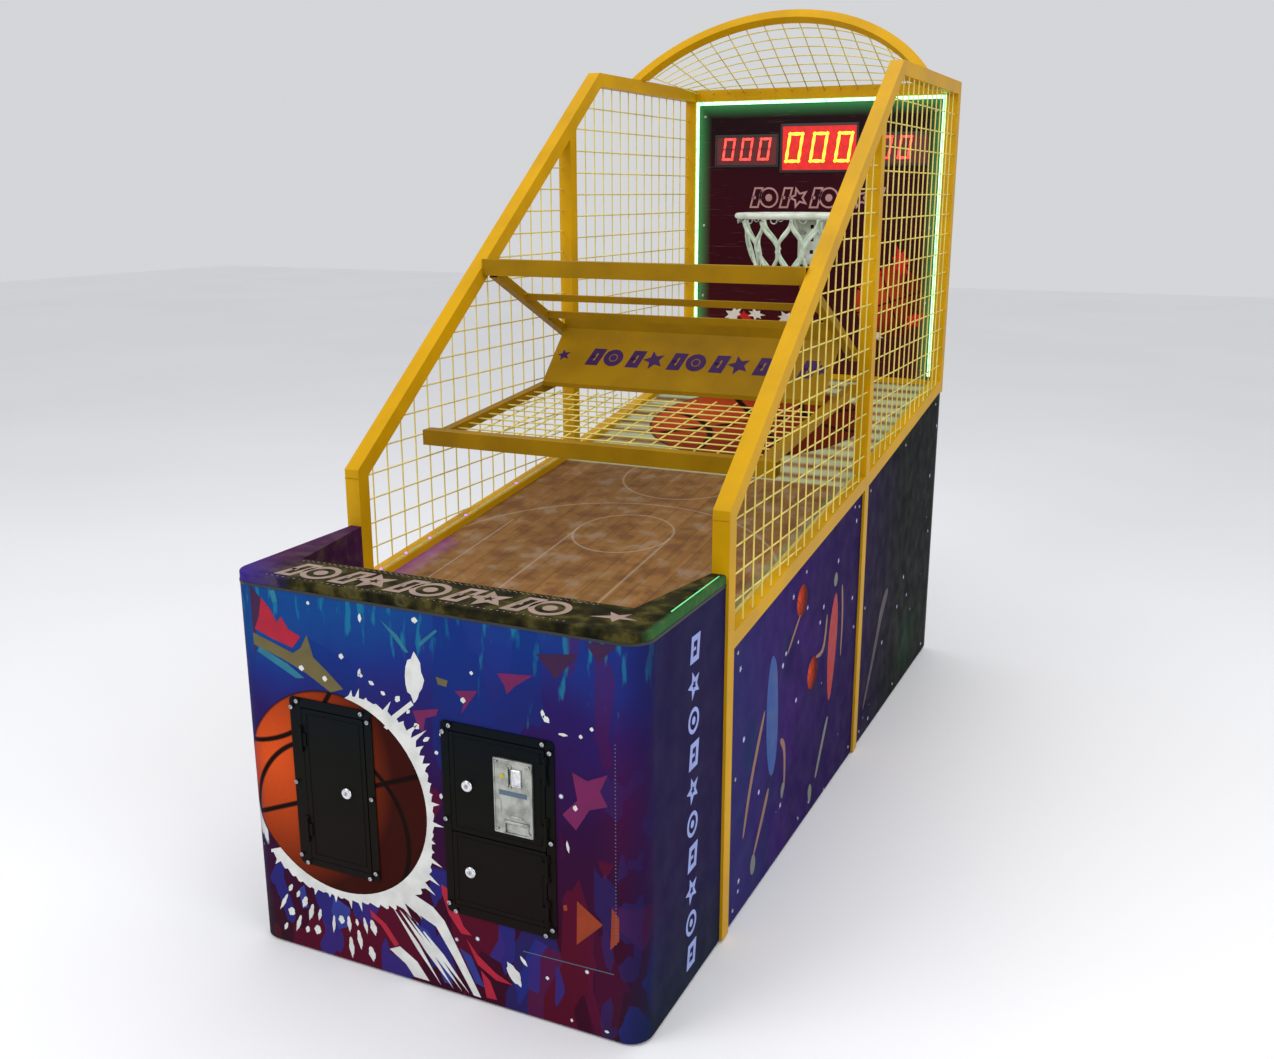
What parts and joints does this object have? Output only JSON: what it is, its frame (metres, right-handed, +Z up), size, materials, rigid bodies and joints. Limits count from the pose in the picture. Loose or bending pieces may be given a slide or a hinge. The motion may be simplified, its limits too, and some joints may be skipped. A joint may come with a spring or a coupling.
{
  "type": "arcade basketball hoop machine",
  "caption": "Coin-operated basketball game: caged sloped court with mesh sides, arched roof mesh, lit scoreboard, netted hoop, guard bars and a front cabinet with lockable doors.",
  "frame": {"origin": "on the floor, under the middle of the machine's outline", "axes": "+X to the player's right, +Y away from the player towards the hoop, +Z up"},
  "size_m": [1, 2.593, 2.2559],
  "materials": {
    "yellow_paint": "gloss, chipped at the welds",
    "yellow_mesh": "gloss enamel on welded wire",
    "printed_board": "board under a glossy printed film",
    "ledge_board": "moulded, printed with pale speckles",
    "court_board": "varnished, printed court",
    "dark_board": "raw edge, painted black",
    "backboard_print": "smooth printed acrylic",
    "display_red": "tinted window over segments",
    "led_strip": "milky light strip",
    "white_paint": "gloss enamel",
    "net_cord": "braided cord",
    "black_paint": "satin powder coat",
    "lock_chrome": "polished",
    "zinc_steel": "zinc plated",
    "cast_plate": "cast, tumbled",
    "black_plastic": "fine grain",
    "button_plastic": "smooth",
    "circuit_board": "solder resist"
  },
  "bodies": {
    "machine": {"left_front_post": "yellow_paint", "left_diagonal_tube": "yellow_paint", "left_top_tube": "yellow_paint", "left_rear_post": "yellow_paint", "left_mid_post": "yellow_paint", "left_bottom_rail": "yellow_paint", "left_side_mesh": "yellow_mesh", "left_side_panels": "printed_board", "right_front_post": "yellow_paint", "right_diagonal_tube": "yellow_paint", "right_top_tube": "yellow_paint", "right_rear_post": "yellow_paint", "right_mid_post": "yellow_paint", "right_bottom_rail": "yellow_paint", "right_side_mesh": "yellow_mesh", "right_side_panels": "printed_board", "roof_arch": "yellow_paint", "upper_crossbar": "yellow_paint", "guard_frame": "yellow_paint", "net_frame": "yellow_paint", "backboard_frame": "yellow_paint", "roof_mesh": "yellow_mesh", "net_mesh": "yellow_mesh", "sign_panel": "yellow_paint", "backboard": "backboard_print", "score_displays": "display_red", "led_strips": "led_strip", "hoop_ring": "white_paint", "hoop_mount": "white_paint", "hoop_net": "net_cord", "ball_sensor": "black_plastic", "power_inlet": "black_plastic", "backboard_cover": "black_paint", "service_bezel": "black_paint", "coin_bezel": "black_paint", "cabinet_shell": "printed_board", "top_ledge": "ledge_board", "playfield": "court_board", "rear_panel": "dark_board", "base_floor": "dark_board", "levelling_feet": "zinc_steel", "hinge_pins": "zinc_steel", "door_screws": "zinc_steel", "cash_box": "zinc_steel", "power_supply": "zinc_steel", "control_board": "circuit_board"},
    "service_door": {"service_door": "black_paint", "service_lock": "lock_chrome"},
    "service_cam": {"service_lock_cam": "zinc_steel"},
    "upper_door": {"upper_coin_door": "black_paint", "upper_lock": "lock_chrome", "coin_plate": "cast_plate", "coin_acceptor": "black_plastic"},
    "upper_cam": {"upper_lock_cam": "zinc_steel"},
    "lower_door": {"lower_coin_door": "black_paint", "lower_lock": "lock_chrome"},
    "lower_cam": {"lower_lock_cam": "zinc_steel"},
    "return_button": {"coin_return_button": "button_plastic"},
    "return_flap": {"coin_return_flap": "cast_plate"},
    "mains_rocker": {"power_rocker": "black_plastic"}
  },
  "joints": [
    {"name": "service_door_hinge", "type": "hinge", "parent": "machine", "child": "service_door", "pos_m": [-0.323, -1.2905, 0.4255], "axis": [0, 0, -1], "range_deg": [0, 110]},
    {"name": "service_lock_turn", "type": "hinge", "parent": "service_door", "child": "service_cam", "pos_m": [-0.209, -1.2835, 0.428], "axis": [0, 1, 0], "range_deg": [0, 90]},
    {"name": "upper_door_hinge", "type": "hinge", "parent": "machine", "child": "upper_door", "pos_m": [0.282, -1.2905, 0.51275], "axis": [0, 0, 1], "range_deg": [0, 100]},
    {"name": "upper_lock_turn", "type": "hinge", "parent": "upper_door", "child": "upper_cam", "pos_m": [0.099, -1.2835, 0.511], "axis": [0, -1, 0], "range_deg": [0, 90]},
    {"name": "lower_door_hinge", "type": "hinge", "parent": "machine", "child": "lower_door", "pos_m": [0.282, -1.2905, 0.31375], "axis": [0, 0, 1], "range_deg": [0, 100]},
    {"name": "lower_lock_turn", "type": "hinge", "parent": "lower_door", "child": "lower_cam", "pos_m": [0.1, -1.2835, 0.314], "axis": [0, -1, 0], "range_deg": [0, 90]},
    {"name": "return_button_press", "type": "slide", "parent": "upper_door", "child": "return_button", "axis": [0, 1, 0], "range_m": [0, 0.0045], "stiffness_N_per_m": 300},
    {"name": "return_flap_swing", "type": "hinge", "parent": "upper_door", "child": "return_flap", "pos_m": [0.215, -1.2893, 0.446], "axis": [1, 0, 0], "range_deg": [0, 60]},
    {"name": "mains_rocker_tilt", "type": "hinge", "parent": "machine", "child": "mains_rocker", "pos_m": [-0.31, 1.2885, 0.176], "axis": [1, 0, 0], "range_deg": [0, 12]}
  ]
}
